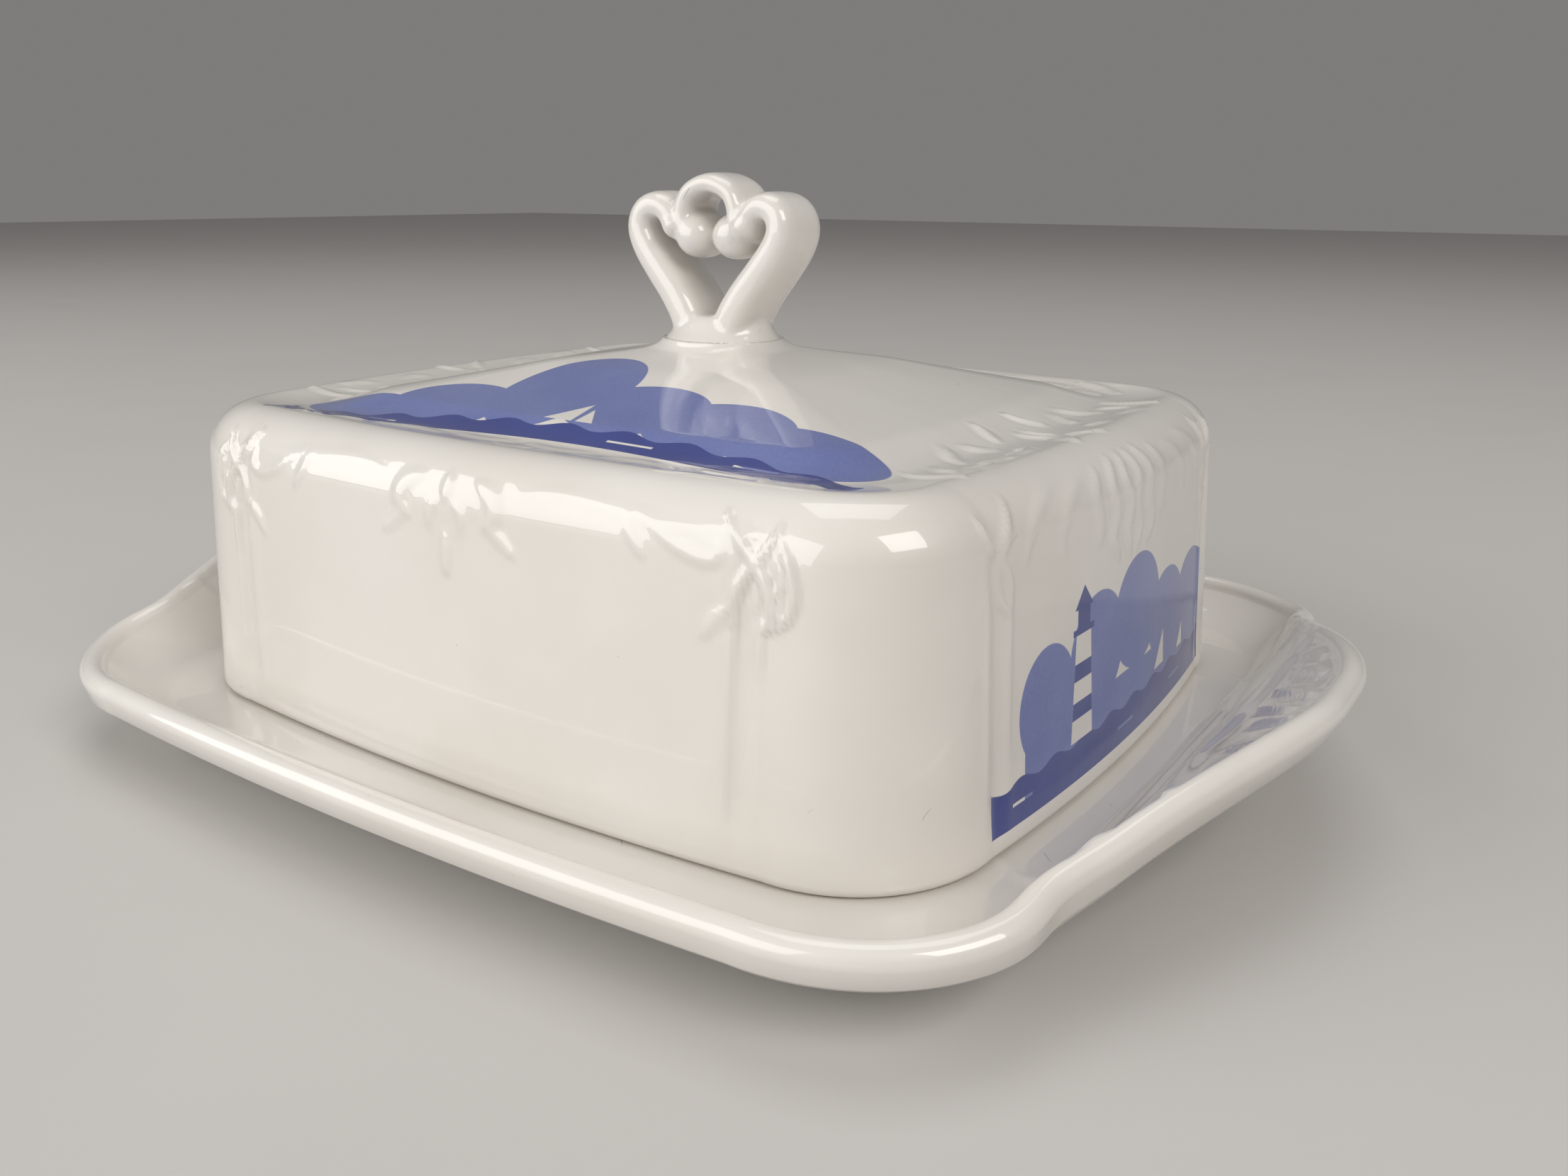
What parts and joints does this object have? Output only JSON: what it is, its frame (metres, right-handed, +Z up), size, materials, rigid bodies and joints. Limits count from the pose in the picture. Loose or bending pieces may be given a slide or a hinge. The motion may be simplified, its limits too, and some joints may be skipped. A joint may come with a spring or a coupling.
{
  "type": "covered butter dish",
  "caption": "Porcelain butter dish: a shallow lugged tray and a tall lift-off lid with a domed top and an open heart-shaped knob.",
  "frame": {"origin": "on the table plane under the foot ring, at the middle of the dish", "axes": "+X along the tray's long direction, +Y across it, +Z up out of the table; the knob's open heart faces -Y and +Y"},
  "size_m": [0.2072, 0.1642, 0.091],
  "materials": {
    "tray": "clear glossy glaze over warm white porcelain, ground bare foot ring",
    "lid_shell": "clear glossy glaze with a blue transfer print fired in",
    "lid_knob": "clear glossy glaze"
  },
  "bodies": {
    "base": {"tray": "tray"},
    "lid": {"lid_shell": "lid_shell", "lid_knob": "lid_knob"}
  },
  "joints": [
    {"name": "lid_lift", "type": "slide", "parent": "base", "child": "lid", "axis": [0, 0, 1], "range_m": [0, 0.12]}
  ]
}
